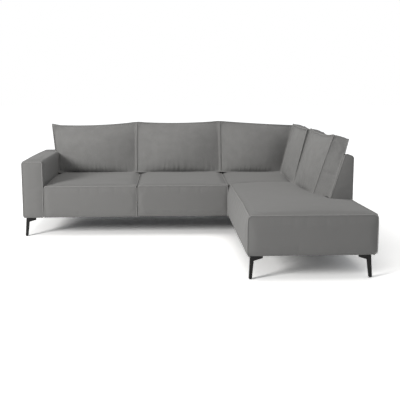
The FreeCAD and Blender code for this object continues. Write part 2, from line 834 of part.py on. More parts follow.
def leg(label, x, y, turn):
    """One leg, built round the outer corner of its plate.

    The blade is padded wide and trimmed on both sides, so that it tapers in both views.
    """
    foot = glide - leg_height
    body = doc.addObject("PartDesign::Body", label)

    def pad(name, role, points, length, lift=0):
        feature = body.newObject("PartDesign::Pad", f"{label}_{name}")
        feature.Profile = outline(body, role, points, lift=lift)
        feature.Midplane = True
        feature.setExpression("Length", size(length).text)
        doc.recompute()

    silhouette = [(0, -plate), (blade_head, -plate), (blade_foot - splay, foot), (-splay, foot)]
    pad("blade", "XZ_Plane", silhouette, 2 * trim)
    reach = leg_height + overrun
    outer_lean = splay / -foot
    inner_lean = (blade_head - blade_foot + splay) / -foot
    outside = [(0, 0), (-outer_lean * reach, -reach), (-trim, -reach), (-trim, 0)]
    inside = [(blade_head + inner_lean * plate, 0), (trim, 0), (trim, -reach),
              (blade_head - inner_lean * (reach - plate), -reach)]
    body_middle[body.Name] = size(0)
    for waste in (outside, inside):
        hollow(body, "YZ_Plane", waste, -trim, trim)
    web = [(0, -plate), (plate_side, -plate), (plate_side - fin_slope, -fin_tip),
           (blade_head, -fin_root), (0, -fin_root)]
    pad("front_fin", "XZ_Plane", web, fin, -fin / 2)
    pad("side_fin", "YZ_Plane", web, fin, fin / 2)
    corner_plate = [(0, 0), (plate_side, 0), (plate_side, plate_clip), (plate_clip, plate_side),
                    (0, plate_side)]
    pad("plate", "XY_Plane", corner_plate, plate, -plate / 2)

    holes_outline = body.newObject("Sketcher::SketchObject", label + "_holes_outline")
    plane = [part for part in body.Origin.OriginFeatures if part.Role == "XY_Plane"][0]
    holes_outline.AttachmentSupport = [(plane, "")]
    holes_outline.MapMode = "FlatFace"
    for a, b in hole_places:
        holes_outline.addGeometry(
            Part.Circle(FreeCAD.Vector(a, b, 0), FreeCAD.Vector(0, 0, 1), hole_radius), False)
    before = body.Shape.Volume
    holes = body.newObject("PartDesign::Pocket", label + "_holes")
    holes.Profile = holes_outline
    holes.Length = 3 * plate
    holes.Midplane = True
    doc.recompute()
    if body.Shape.Volume > before - 1:
        raise RuntimeError(f"{label}: the holes cut nothing")
    place(body, x, y, leg_height)
    body.Placement.Rotation = FreeCAD.Rotation(FreeCAD.Vector(0, 0, 1), turn)
    return keep(label, body)


for label, (x, y, turn) in leg_places.items():
    leg(label, x, y, turn)

# Hidden supports: plain square posts under the feet of the back posts and under a cross rail.
support_width = 40
support_rear = back - 70
supports = []
for x, y in (
    (seat_seam, support_rear),
    (frame_right - board * 1.5, support_rear),
    (corner_left + board * 1.5, support_rear),
    ((section_seam + right) / 2, corner_front),
):
    supports.append(box(f"support_post_{len(supports)}",
                        (x - support_width / 2, x + support_width / 2),
                        (y - support_width / 2, y + support_width / 2), (0, leg_height),
                        keep_it=False))
like_pieces("support_posts", supports)


def at_leg(x, y, turn, a, b):
    """The point a, b of a leg's plan in the sofa's frame."""
    angle = math.radians(turn)
    return (x.value + a * math.cos(angle) - b * math.sin(angle),
            y.value + a * math.sin(angle) + b * math.cos(angle))


# Nylon glides under the legs, and hexagon-head screws through their plates into the timber.
glides = []
screws = []
glide_radius = 8
screw_radius = 5.5
shank_radius = 3.0
shank_length = 26.0


def many_sided(radius, sides, low, high):
    """An upright prism with the given number of sides, between two heights."""
    ring = []
    for number in range(sides + 1):
        angle = 2 * math.pi * number / sides
        ring.append(FreeCAD.Vector(radius * math.cos(angle), radius * math.sin(angle), low))
    return Part.Face(Part.makePolygon(ring)).extrude(FreeCAD.Vector(0, 0, high - low))


glide_at = blade_foot / 2 - splay
for x, y, turn in leg_places.values():
    across, along = at_leg(x, y, turn, glide_at, glide_at)
    glides.append(Part.makeCylinder(glide_radius, glide, FreeCAD.Vector(across, along, 0)))
    for hole in hole_places:
        across, along = at_leg(x, y, turn, *hole)
        shank = many_sided(shank_radius, 8, plate, plate + shank_length)
        screw = many_sided(screw_radius, 6, 0, plate).fuse(shank)
        screw.translate(FreeCAD.Vector(across, along, leg_height.value - 2 * plate))
        screws.append(screw)
group("foot_glides", glides)
group("leg_screws", screws)

# Links that hold the two sections together: a slotted plate on one frame, a hook on the other.
link_thickness = 3
link_width = 60
link_height = 50
link_foot = leg_height.value + 60
slot_width = 26
slot_height = 12
slot_foot = 26
tongue_width = 22
tongue_length = 9
plates = []
hooks = []
for y in (main_front.value + 200, back_face.value - 120):
    plate_left = frame_right.value
    hook_left = corner_left.value - link_thickness
    edge = y - link_width / 2
    strip = Part.makeBox(link_thickness, link_width, link_height,
                         FreeCAD.Vector(plate_left, edge, link_foot))
    slot = Part.makeBox(2 * link_thickness, slot_width, slot_height,
                        FreeCAD.Vector(plate_left - 1, y - slot_width / 2, link_foot + slot_foot))
    plates.append(strip.cut(slot))
    hook_plate = Part.makeBox(link_thickness, link_width, link_height,
                              FreeCAD.Vector(hook_left, edge, link_foot))
    tongue = Part.makeBox(tongue_length, tongue_width, plate,
                          FreeCAD.Vector(hook_left - tongue_length, y - tongue_width / 2,
                                         link_foot + slot_foot + plate))
    hooks.append(hook_plate.fuse(tongue))
group("link_plates", plates)
group("link_hooks", hooks)

doc.recompute()
for thing in doc.Objects:
    if "Invalid" in thing.State or "Error" in thing.State:
        raise RuntimeError(f"{thing.Label} failed: {thing.State}")
os.makedirs("parts", exist_ok=True)
for label, thing in nodes.items():
    if thing.Shape.isNull() or not thing.Shape.isValid():
        raise RuntimeError(f"{label} has no valid shape")
    thing.Shape.exportStep(f"parts/{label}.step")
print(len(nodes), "nodes")
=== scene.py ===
import math

import bmesh
import bpy
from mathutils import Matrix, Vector, noise


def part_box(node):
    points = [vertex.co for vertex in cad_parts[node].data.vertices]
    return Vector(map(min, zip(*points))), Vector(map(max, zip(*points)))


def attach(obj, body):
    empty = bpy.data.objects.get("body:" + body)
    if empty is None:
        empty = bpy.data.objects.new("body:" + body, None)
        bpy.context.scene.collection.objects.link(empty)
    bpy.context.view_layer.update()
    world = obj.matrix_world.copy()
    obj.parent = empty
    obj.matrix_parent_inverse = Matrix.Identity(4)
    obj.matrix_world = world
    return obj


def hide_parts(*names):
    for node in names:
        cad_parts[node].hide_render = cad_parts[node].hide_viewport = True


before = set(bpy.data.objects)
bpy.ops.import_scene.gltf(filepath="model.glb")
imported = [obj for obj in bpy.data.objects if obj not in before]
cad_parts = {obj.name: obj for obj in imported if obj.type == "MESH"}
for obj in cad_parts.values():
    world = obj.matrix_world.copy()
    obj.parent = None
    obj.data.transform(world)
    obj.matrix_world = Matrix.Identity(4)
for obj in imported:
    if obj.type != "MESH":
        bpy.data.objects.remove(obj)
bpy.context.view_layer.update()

# Camera: standing eye height in front of the sofa's middle, turned slightly to the right and down.
# The picture is cropped below the optical axis.
camera_data = bpy.data.cameras.new("camera")
camera_data.sensor_width = 36
camera_data.lens = 52.22
camera_data.shift_y = -0.075
camera_data.clip_end = 200
camera = bpy.data.objects.new("camera", camera_data)
camera.location = (-0.0303, -4.7349, 1.2010)
camera.rotation_euler = (math.pi / 2 - 0.1278, 0, -0.0476)
bpy.context.scene.collection.objects.link(camera)
bpy.context.scene.camera = camera

# Studio: white surroundings, a large soft lamp at the left front and a wide one overhead. The floor
# is pale and keeps the shadow; what the camera sees of it grows to white away from the sofa.
scene = bpy.context.scene
scene.view_settings.view_transform = "Standard"
room = bpy.data.worlds.new("room")
scene.world = room
room.use_nodes = True
nodes = room.node_tree.nodes
links = room.node_tree.links
room_light = nodes["Background"]
room_light.inputs["Color"].default_value = (0.96, 0.98, 1.0, 1)
room_light.inputs["Strength"].default_value = 0.31
white_room = nodes.new("ShaderNodeBackground")
white_room.inputs["Color"].default_value = (1, 1, 1, 1)


def seen_directly(nodes, links):
    """One for a ray seen straight, in a gloss or through a clear body, otherwise nothing."""
    seen = nodes.new("ShaderNodeLightPath")
    total = seen.outputs["Is Camera Ray"]
    for kind in ("Is Glossy Ray", "Is Transmission Ray"):
        either = nodes.new("ShaderNodeMath")
        either.operation = "MAXIMUM"
        links.new(total, either.inputs[0])
        links.new(seen.outputs[kind], either.inputs[1])
        total = either.outputs[0]
    return total


choose = nodes.new("ShaderNodeMixShader")
links.new(seen_directly(nodes, links), choose.inputs["Fac"])
links.new(room_light.outputs[0], choose.inputs[1])
links.new(white_room.outputs[0], choose.inputs[2])
links.new(choose.outputs[0], nodes["World Output"].inputs["Surface"])

floor_mesh = bmesh.new()
bmesh.ops.create_grid(floor_mesh, x_segments=1, y_segments=1, size=60)
floor_data = bpy.data.meshes.new("floor")
floor_mesh.to_mesh(floor_data)
floor_mesh.free()
floor = bpy.data.objects.new("floor", floor_data)
scene.collection.objects.link(floor)
floor_paint = bpy.data.materials.new("floor_paint")
floor_paint.use_nodes = True
nodes = floor_paint.node_tree.nodes
links = floor_paint.node_tree.links
nodes.remove(nodes["Principled BSDF"])
paint = nodes.new("ShaderNodeBsdfDiffuse")
paint.inputs["Color"].default_value = (0.88, 0.88, 0.88, 1)
twice = nodes.new("ShaderNodeAddShader")
links.new(paint.outputs[0], twice.inputs[0])
links.new(paint.outputs[0], twice.inputs[1])
place_on_floor = nodes.new("ShaderNodeTexCoord")
reach = nodes.new("ShaderNodeVectorMath")
reach.operation = "LENGTH"
links.new(place_on_floor.outputs["Object"], reach.inputs[0])
fade = nodes.new("ShaderNodeMapRange")
fade.interpolation_type = "SMOOTHSTEP"
fade.inputs["From Min"].default_value = 1.0
fade.inputs["From Max"].default_value = 3.8
fade.inputs["To Min"].default_value = 0.0
fade.inputs["To Max"].default_value = 0.6
links.new(reach.outputs["Value"], fade.inputs["Value"])
whiten = nodes.new("ShaderNodeEmission")
links.new(fade.outputs["Result"], whiten.inputs["Strength"])
bright_floor = nodes.new("ShaderNodeAddShader")
links.new(twice.outputs[0], bright_floor.inputs[0])
links.new(whiten.outputs[0], bright_floor.inputs[1])
choose = nodes.new("ShaderNodeMixShader")
links.new(seen_directly(nodes, links), choose.inputs["Fac"])
links.new(paint.outputs[0], choose.inputs[1])
links.new(bright_floor.outputs[0], choose.inputs[2])
links.new(choose.outputs[0], nodes["Material Output"].inputs["Surface"])
floor_data.materials.append(floor_paint)


def studio_lamp(name, place, aim, width, power, colour):
    """A soft square lamp turned towards a point."""
    lamp_data = bpy.data.lights.new(name, "AREA")
    lamp_data.size = width
    lamp_data.energy = power
    lamp_data.color = colour
    lamp = bpy.data.objects.new(name, lamp_data)
    lamp.location = place
    lamp.rotation_euler = (Vector(aim) - Vector(place)).to_track_quat("-Z", "Y").to_euler()
    scene.collection.objects.link(lamp)


studio_lamp("front_left_lamp", (-4.8, -3.9, 2.6), (-0.2, 0.3, 0.5), 1.8, 320, (1.0, 0.99, 0.97))
studio_lamp("overhead_lamp", (0.3, -0.4, 4.6), (0.3, 0, 0), 4.5, 74, (1.0, 0.97, 0.93))


# Arm: boards and foam under one tight wrap of cloth, with a separate front panel that is piped
# along its top and both its sides. The cloth is a mid grey weave with a short pile.
def new_material(name):
    """A material with its nodes, its links and its surface shader."""
    material = bpy.data.materials.new(name)
    material.use_nodes = True
    tree = material.node_tree
    return material, tree.nodes, tree.links, tree.nodes["Principled BSDF"]


def add_noise(nodes, links, source, scale, detail, stretch=(1, 1, 1)):
    """A noise on the given coordinates, stretched along its axes."""
    turn = nodes.new("ShaderNodeMapping")
    turn.inputs["Scale"].default_value = stretch
    links.new(source, turn.inputs["Vector"])
    grain = nodes.new("ShaderNodeTexNoise")
    grain.inputs["Scale"].default_value = scale
    grain.inputs["Detail"].default_value = detail
    links.new(turn.outputs[0], grain.inputs["Vector"])
    return grain.outputs["Fac"]


def add_mix(nodes, links, shares):
    """The sum of several values, each times its share."""
    total = None
    for value, share in shares:
        step = nodes.new("ShaderNodeMath")
        step.operation = "MULTIPLY_ADD"
        step.inputs[1].default_value = share
        links.new(value, step.inputs[0])
        if total is None:
            step.inputs[2].default_value = 0
        else:
            links.new(total, step.inputs[2])
        total = step.outputs[0]
    return total


def add_ramp(nodes, links, value, *stops):
    """Colours spread over a value, from (place, colour) pairs."""
    ramp = nodes.new("ShaderNodeValToRGB")
    elements = ramp.color_ramp.elements
    while len(elements) < len(stops):
        elements.new(0.5)
    for element, (place, colour) in zip(elements, stops):
        element.position = place
        element.color = (*colour, 1)
    links.new(value, ramp.inputs["Fac"])
    return ramp.outputs["Color"]


def add_bump(nodes, links, surface, height, distance, strength=1.0):
    """Relief on a surface."""
    relief = nodes.new("ShaderNodeBump")
    relief.inputs["Distance"].default_value = distance
    relief.inputs["Strength"].default_value = strength
    links.new(height, relief.inputs["Height"])
    links.new(relief.outputs["Normal"], surface.inputs["Normal"])


def sofa_cloth(name, dark, middle, light, thread_scale):
    """Grey woven cloth with a short pile. Its pattern lies on the cloth map, in metres."""
    material, nodes, links, surface = new_material(name)
    surface.inputs["Roughness"].default_value = 0.95
    surface.inputs["Sheen Weight"].default_value = 0.16
    surface.inputs["Sheen Roughness"].default_value = 0.5
    surface.inputs["Specular IOR Level"].default_value = 0.15
    lay = nodes.new("ShaderNodeUVMap")
    lay.uv_map = "cloth"
    threads = []
    for direction in ("X", "Y"):
        thread = nodes.new("ShaderNodeTexWave")
        thread.bands_direction = direction
        thread.inputs["Scale"].default_value = thread_scale
        thread.inputs["Distortion"].default_value = 1.5
        thread.inputs["Detail"].default_value = 1
        thread.inputs["Detail Scale"].default_value = 2.5
        links.new(lay.outputs[0], thread.inputs["Vector"])
        threads.append(thread.outputs["Fac"])
    crossing = nodes.new("ShaderNodeMath")
    crossing.operation = "MULTIPLY"
    links.new(threads[0], crossing.inputs[0])
    links.new(threads[1], crossing.inputs[1])
    pile = add_noise(nodes, links, lay.outputs[0], 520, 3)
    slub = add_noise(nodes, links, lay.outputs[0], 110, 3, (1, 2.4, 1))
    nap = add_noise(nodes, links, lay.outputs[0], 14, 3)
    tone = add_mix(nodes, links, ((crossing.outputs[0], 0.22), (pile, 0.26), (slub, 0.34),
                                  (nap, 0.18)))
    colour = add_ramp(nodes, links, tone, (0.26, dark), (0.46, middle), (0.66, light))
    links.new(colour, surface.inputs["Base Color"])
    height = add_mix(nodes, links, ((crossing.outputs[0], 0.6), (pile, 0.5), (slub, 0.5)))
    add_bump(nodes, links, surface, height, 0.0012, 0.5)
    return material


weave = 145
fine_weave = 210
cloth = sofa_cloth("grey_woven_cloth", (0.150, 0.149, 0.147), (0.206, 0.205, 0.202),
                   (0.275, 0.273, 0.269), weave)
# The piping's cloth is the sofa's weave painted lighter: a painted highlight along every cord, not
# a lighter cloth.
welt_cloth_painted_highlight = sofa_cloth("grey_welt_cloth_painted_highlight", (0.205, 0.204, 0.201), (0.272, 0.270, 0.266),
                        (0.345, 0.342, 0.337), fine_weave)


def lay_cloth(mesh):
    """Give every face its place on the cloth, in metres, from the side that it faces."""
    layer = mesh.loops.layers.uv.verify()
    mesh.normal_update()
    for face in mesh.faces:
        facing = max(range(3), key=lambda axis: abs(face.normal[axis]))
        first, second = [(1, 2), (0, 2), (0, 1)][facing]
        for loop in face.loops:
            loop[layer].uv = (loop.vert.co[first], loop.vert.co[second])


def cut_block(outline, axis, low, high, cell):
    """A block with the given outline across an axis, cut into cells for the cloth."""
    across = [number for number in range(3) if number != axis]
    mesh = bmesh.new()
    ring = []
    for first, second in outline:
        corner = Vector()
        corner[axis], corner[across[0]], corner[across[1]] = low, first, second
        ring.append(mesh.verts.new(corner))
    grown = bmesh.ops.extrude_face_region(mesh, geom=[mesh.faces.new(ring)])
    travel = Vector()
    travel[axis] = high - low
    moved = [part for part in grown["geom"] if isinstance(part, bmesh.types.BMVert)]
    bmesh.ops.translate(mesh, vec=travel, verts=moved)
    bmesh.ops.recalc_face_normals(mesh, faces=mesh.faces)
    for direction in range(3):
        normal = Vector()
        normal[direction] = 1
        stops = sorted({round(vert.co[direction], 5) for vert in mesh.verts})
        for start, end in zip(stops, stops[1:]):
            count = max(1, round((end - start) / cell))
            for number in range(count + 1):
                bmesh.ops.bisect_plane(mesh, geom=mesh.verts[:] + mesh.edges[:] + mesh.faces[:],
                                       plane_co=normal * (start + (end - start) * number / count),
                                       plane_no=normal, dist=1e-5)
    lay_cloth(mesh)
    return mesh


def along_edge(mesh, start, end):
    """The vertices on a straight edge of a block, in order."""
    start, end = Vector(start), Vector(end)
    run = end - start
    found = []
    for vert in mesh.verts:
        share = (vert.co - start).dot(run) / run.length_squared
        if -0.001 < share < 1.001 and (start + run * share - vert.co).length < 1e-4:
            found.append((share, vert.index))
    return [index for share, index in sorted(found)]


def seam_through(mesh, corners):
    """The vertices of a seam that runs from corner to corner."""
    mesh.verts.index_update()
    path = []
    for start, end in zip(corners, corners[1:]):
        path += [index for index in along_edge(mesh, start, end) if index not in path[-1:]]
    return path


def soften(mesh, sewn, rounds):
    """Round the edges of a block, apart from its seams, as cloth over wadding does."""
    mesh.verts.ensure_lookup_table()
    free = [vert for vert in mesh.verts if vert.index not in sewn]
    for number in range(rounds):
        bmesh.ops.smooth_vert(mesh, verts=free, factor=0.5, use_axis_x=True, use_axis_y=True,
                              use_axis_z=True)


wide_ripples = 4.5
small_ripples = 16


def wadding(mesh, sewn, swell, reach, ripple, seed):
    """Swell the cloth between its seams and add the slight unevenness of filled cloth."""
    mesh.verts.ensure_lookup_table()
    mesh.normal_update()
    sewn_points = [mesh.verts[index].co.copy() for index in sewn]
    moves = []
    for vert in mesh.verts:
        near = min(((vert.co - point).length for point in sewn_points), default=1)
        rise = 1 - math.exp(-near / reach)
        wide = noise.noise(vert.co * wide_ripples + Vector((seed, 0, 0)))
        small = noise.noise(vert.co * small_ripples + Vector((0, seed, 0)))
        moves.append(vert.normal * (swell + ripple * (wide + 0.4 * small)) * rise)
    for vert, move in zip(mesh.verts, moves):
        if vert.index not in sewn:
            vert.co += move


def make_piece(name, mesh, body, material, *replaced):
    """Turn a bmesh into a piece that rides on a body and stands for CAD nodes."""
    data = bpy.data.meshes.new(name)
    mesh.to_mesh(data)
    mesh.free()
    data.polygons.foreach_set("use_smooth", [True] * len(data.polygons))
    data.materials.append(material)
    piece = bpy.data.objects.new(name, data)
    scene.collection.objects.link(piece)
    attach(piece, body)
    if replaced:
        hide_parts(*replaced)
    return piece


pressure = 4.0
settling_frames = 20


def fill_cloth(piece, held, growth, caps):
    """Blow the piece up as filled cloth that is held at its seams, and keep the result. caps says
    how far each vertex may travel."""
    group = piece.vertex_groups.new(name="held")
    group.add(list(held), 1.0, "REPLACE")
    filling = piece.modifiers.new("filling", "CLOTH")
    settings = filling.settings
    settings.quality = 4
    settings.mass = 0.25
    settings.tension_stiffness = 20
    settings.compression_stiffness = 20
    settings.shear_stiffness = 8
    settings.bending_stiffness = 0.4
    settings.use_pressure = True
    settings.uniform_pressure_force = pressure
    settings.shrink_min = -growth
    settings.vertex_group_mass = group.name
    settings.effector_weights.gravity = 0
    filling.collision_settings.use_collision = False
    filling.point_cache.frame_start = 1
    filling.point_cache.frame_end = settling_frames
    for number in range(1, settling_frames + 1):
        scene.frame_set(number)
    blown = piece.evaluated_get(bpy.context.evaluated_depsgraph_get())
    places = [vert.co.copy() for vert in blown.data.vertices]
    piece.modifiers.remove(filling)
    piece.vertex_groups.remove(group)
    for vert, place, cap in zip(piece.data.vertices, places, caps):
        move = place - vert.co
        if move.length > cap:
            move *= cap / move.length
        vert.co += move
    scene.frame_set(1)


seam_sharpness = 0.8


def finish_cloth(piece, seams):
    """Give the cloth its fine shape, drawn in sharply where it is sewn."""
    mesh = bmesh.new()
    mesh.from_mesh(piece.data)
    mesh.verts.ensure_lookup_table()
    crease = mesh.edges.layers.float.new("crease_edge")
    for seam in seams:
        for start, end in zip(seam, seam[1:]):
            edge = mesh.edges.get((mesh.verts[start], mesh.verts[end]))
            if edge:
                edge[crease] = seam_sharpness
    mesh.to_mesh(piece.data)
    mesh.free()
    smooth = piece.modifiers.new("fine_shape", "SUBSURF")
    smooth.levels = 1
    smooth.render_levels = 1


cord = 0.0042
seam_reach = 0.012


def welt(name, points, closed, body, radius=cord):
    """Piping: a cord covered in cloth, sewn along a seam, its cloth painted light as a highlight.
    """
    line = bpy.data.curves.new(name, "CURVE")
    line.dimensions = "3D"
    line.bevel_depth = radius
    line.bevel_resolution = 2
    line.use_fill_caps = True
    spline = line.splines.new("POLY")
    spline.points.add(len(points) - 1)
    for target, point in zip(spline.points, points):
        target.co = (*point, 1)
    spline.use_cyclic_u = closed
    holder = bpy.data.objects.new(name + "_line", line)
    scene.collection.objects.link(holder)
    shape = bpy.data.meshes.new_from_object(
        holder.evaluated_get(bpy.context.evaluated_depsgraph_get()))
    bpy.data.objects.remove(holder)
    mesh = bmesh.new()
    mesh.from_mesh(shape)
    lay_cloth(mesh)
    return make_piece(name, mesh, body, welt_cloth_painted_highlight)


def upholster(name, mesh, seams, held, body, nodes_replaced, swell=0.004, ripple=0.0015, seed=0,
              growth=0.01, most=0.006, rounds=2, fill=0.85, radius=cord):
    """A padded piece with piping on its seams. held says which other vertices stay in place."""
    sewn = {index for seam in seams for index in seam}
    fixed = sewn | {vert.index for vert in mesh.verts if held(vert.co)}
    soften(mesh, sewn, rounds)
    wadding(mesh, sewn, swell, seam_reach, ripple, seed)
    piece = make_piece(name + "_upholstery", mesh, body, cloth, *nodes_replaced)
    fill_cloth(piece, fixed, growth, [most] * len(piece.data.vertices))
    finish_cloth(piece, seams)
    for number, seam in enumerate(seams):
        points = [piece.data.vertices[index].co.copy() for index in seam]
        welt(f"{name}_welt_{number + 1}", points, False, body, radius)
    return piece


cell = 0.016
on_it = 0.001
full_share = 0.999
hem = 0.0005
arm_hem = 0.02
arm_low, arm_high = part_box("arm_cover")
arm_top = 0.650
arm_rise = arm_high.z - arm_top
rise_reach = 0.62
rise_power = 0.8
panel_inset = 0.005
panel_corner = 0.004
foot_round = 0.014
beside_seat = 0.460
seat_room = 0.0002
base = arm_low.z - hem
mesh = cut_block([(arm_low.y, base), (arm_high.y, base), (arm_high.y, arm_top),
                  (arm_low.y, arm_top)], 0, arm_low.x, arm_high.x, cell)
arm_seam = seam_through(mesh, [(arm_low.x, arm_low.y, base), (arm_low.x, arm_low.y, arm_top),
                               (arm_high.x, arm_low.y, arm_top), (arm_high.x, arm_low.y, base)])
arm_middle = (arm_low.x + arm_high.x) / 2
for vert in mesh.verts:
    depth = (vert.co.y - arm_low.y) / (arm_high.y - arm_low.y)
    height = (vert.co.z - arm_low.z) / (arm_top - arm_low.z)
    vert.co.z += height * arm_rise * math.sin(math.pi * min(1, depth * rise_reach)) ** rise_power
    across = (vert.co.x - arm_middle) / (arm_high.x - arm_middle)
    if depth < on_it:
        vert.co.x -= across * panel_inset
        vert.co.z -= height * panel_inset
        if abs(across) > full_share and height > full_share:
            vert.co.x -= across * panel_corner
            vert.co.z -= panel_corner
    low_part = foot_round - (vert.co.z - base)
    if low_part > 0 and depth < on_it:
        vert.co.x -= across * (foot_round - math.sqrt(max(0, foot_round ** 2 - low_part ** 2)))
arm = upholster("arm", mesh, [arm_seam], lambda co: co.z < base + arm_hem, "sofa",
                ("arm_cover", "arm_foam"), ripple=0.0006, seed=3, growth=0.004, most=0.004)
for vert in arm.data.vertices:
    if vert.co.z < beside_seat:
        vert.co.x = min(vert.co.x, arm_high.x + seat_room)

# Seats of the two-seat section: foam blocks under cloth, crowned towards the back. Each has a front
# panel that hangs from the piped seam to the underside, and piping up its sides.
seat_boxes = {name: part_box(name + "_seat_cover") for name in ("left", "right")}
seat_edge = 0.436
seat_rise = 0.030
seat_crown = 0.010
side_inset = 0.006
side_power = 9
overlap = 0.0005
corner_draw = 0.005
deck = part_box("corner_seat_cover")[0].z
hem_height = 0.19
margin = 0.01
flap = 0.014
side_fall = 0.015
side_fall_power = 5
side_fall_start = 6


def seat_height(x, y, low, high):
    """Height of a main seat's top at a point."""
    depth = max(0, min(1, (y - low.y) / (high.y - low.y)))
    across = 2 * (x - low.x) / (high.x - low.x) - 1
    sides = abs(across) ** side_fall_power * side_fall * min(1, depth * side_fall_start)
    return seat_edge + seat_rise * depth + seat_crown * 4 * depth * (1 - depth) - sides


for seed, (name, (low, high)) in enumerate(seat_boxes.items()):
    outline = [(low.y, low.z), (low.y + flap, low.z), (low.y + flap, deck), (high.y, deck),
               (high.y, seat_edge), (low.y, seat_edge)]
    left, right = low.x - overlap, high.x + overlap
    mesh = cut_block(outline, 0, left, right, cell)
    seams = [seam_through(mesh, [(left, low.y, low.z), (left, low.y, seat_edge),
                                 (right, low.y, seat_edge), (right, low.y, low.z)]),
             seam_through(mesh, [(left, low.y, seat_edge), (left, high.y, seat_edge)]),
             seam_through(mesh, [(right, low.y, seat_edge), (right, high.y, seat_edge)])]
    for vert in mesh.verts:
        share = max(0, (vert.co.z - deck) / (seat_edge - deck))
        across = 2 * (vert.co.x - left) / (right - left) - 1
        if vert.co.y < low.y + on_it:
            vert.co.x -= across ** side_power * side_inset
            if abs(across) > full_share and share > full_share:
                vert.co.x -= across * corner_draw
                vert.co.z -= corner_draw
        else:
            vert.co.x -= across ** side_power * side_inset * share ** 2
        if share > 0:
            vert.co.z += share * (seat_height(vert.co.x, vert.co.y, low, high) - seat_edge)
    mesh.verts.index_update()
    sides = {vert.index: vert.co.x for vert in mesh.verts
             if min(vert.co.x - left, right - vert.co.x) < on_it and vert.co.y > low.y + on_it}
    front, rear = low.y + margin, high.y - margin
    seat = upholster(name + "_seat", mesh, seams,
                     lambda co: (co.z < deck + margin and co.y > front or co.y > rear
                                 or co.z < hem_height),
                     "sofa", (name + "_seat_cover", name + "_seat_foam"), ripple=0.002,
                     seed=7 + seed)
    for vert in seat.data.vertices:
        vert.co.x = sides.get(vert.index, max(left, min(right, vert.co.x)))

# Chaise: a long foam seat whose side and front panels run down to the underside. The top is sewn in
# a little from the side, so the side rolls out below its seam. The front panel's lower corners are
# rounded, more so at the outer side.
chaise_low, chaise_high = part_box("chaise_seat_cover")
corner_low, corner_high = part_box("corner_seat_cover")
back_low, back_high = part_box("side_back_cover")
chaise_crown = 0.017
crown_power = 1.5
crown_run = 0.12
roll = 0.008
rear_roll = 0.012
roll_run = 0.4
roll_width = 0.10
roll_start = 0.72
roll_span = 0.28
right_roll = 0.5
corner_width = 0.015
corner_round = 0.025
round_width = 0.08
left_round = 0.4


def chaise_height(x, y):
    """Height of the chaise's top at a point."""
    across = 2 * (x - chaise_low.x) / (chaise_high.x - chaise_low.x) - 1
    sides = max(0, 1 - across * across) ** crown_power
    front_share = 1 - math.exp(-max(0, y - chaise_low.y) / crown_run)
    return seat_edge + chaise_crown * sides * front_share


chaise_foot = chaise_low.z - hem
cloth_room = 0.003
left_border = 0.012
right_border = 0.03
notch = back_low.y - 0.002
left, right = chaise_low.x, chaise_high.x
front, rear = chaise_low.y, chaise_high.y
mesh = cut_block([(left, front), (right, front), (right, notch), (corner_high.x, notch),
                  (corner_high.x, rear), (left, rear)], 2, chaise_foot, seat_edge, cell)
seams = [seam_through(mesh, [(left, front, chaise_foot), (left, front, seat_edge),
                             (right, front, seat_edge), (right, front, chaise_foot)]),
         seam_through(mesh, [(left, front, seat_edge), (left, rear, seat_edge)]),
         seam_through(mesh, [(right, front, seat_edge), (right, notch, seat_edge)])]
for vert in mesh.verts:
    share = (vert.co.z - chaise_foot) / (seat_edge - chaise_foot)
    for side, inwards in ((left, 1), (right, -right_roll)):
        away = max(0, 1 - abs(vert.co.x - side) / roll_width)
        rolled = roll + rear_roll * min(1, (vert.co.y - front) / roll_run)
        vert.co.x += inwards * rolled * max(0, (share - roll_start) / roll_span) ** 2 * away
    at_side = vert.co.x < left + corner_width or vert.co.x > right - corner_width
    if at_side and vert.co.y < front + on_it and share > full_share:
        vert.co.x += corner_draw if vert.co.x < 0.5 * (left + right) else -corner_draw
        vert.co.z -= corner_draw
    if vert.co.z > deck:
        rise = (vert.co.z - deck) / (seat_edge - deck)
        vert.co.z += rise * (chaise_height(vert.co.x, vert.co.y) - seat_edge)
    low_part = corner_round - (vert.co.z - chaise_foot)
    if low_part > 0 and vert.co.y < front + on_it:
        inward = corner_round - math.sqrt(max(0, corner_round ** 2 - low_part ** 2))
        right_side = max(0, 1 - (right - vert.co.x) / round_width)
        left_side = max(0, 1 - (vert.co.x - left) / round_width)
        vert.co.x += left_round * inward * left_side - inward * right_side
    inside = left + left_border < vert.co.x < right - right_border
    if share < on_it and inside and vert.co.y > front + left_border:
        vert.co.z += cloth_room
upholster("chaise_seat", mesh, seams, lambda co: co.z < hem_height or co.y > rear - margin, "sofa",
          ("chaise_seat_cover", "chaise_seat_foam"), swell=0.005, ripple=0.0015, seed=13,
          growth=0.004)

# Corner seat: the short foam seat behind the chaise. Its front edge is sewn to the chaise along a
# seam that shows as a shallow line across the section.
corner_edge = 0.442
corner_rise = 0.018
corner_crown = 0.008
edge_fall = 0.014
edge_run = 0.06
seam_run = 0.08


def corner_height(y):
    """Height of the corner seat's top."""
    depth = max(0, min(1, (y - corner_low.y) / (corner_high.y - corner_low.y)))
    return corner_edge + corner_rise * depth + corner_crown * math.sin(math.pi * depth)


mesh = cut_block([(corner_low.y, deck), (corner_high.y, deck), (corner_high.y, corner_edge),
                  (corner_low.y, corner_edge)], 0, corner_low.x, corner_high.x, cell)
seams = [seam_through(mesh, [(corner_low.x, corner_high.y, corner_edge),
                             (corner_low.x, corner_low.y, corner_edge),
                             (corner_high.x, corner_low.y, corner_edge)])]
for vert in mesh.verts:
    share = (vert.co.z - deck) / (corner_edge - deck)
    across = (vert.co.x - corner_low.x) / (corner_high.x - corner_low.x)
    fall = edge_fall * math.exp(-across / edge_run)
    drop = min(0, chaise_height(vert.co.x, chaise_high.y) - corner_edge) * math.exp(
        -(vert.co.y - corner_low.y) / seam_run)
    vert.co.z += share * (corner_height(vert.co.y) - corner_edge - fall + drop)
upholster("corner_seat", mesh, seams,
          lambda co: co.z < deck + margin or co.y > corner_high.y - margin,
          "sofa", ("corner_seat_cover", "corner_seat_foam"), seed=17, radius=0.0028)

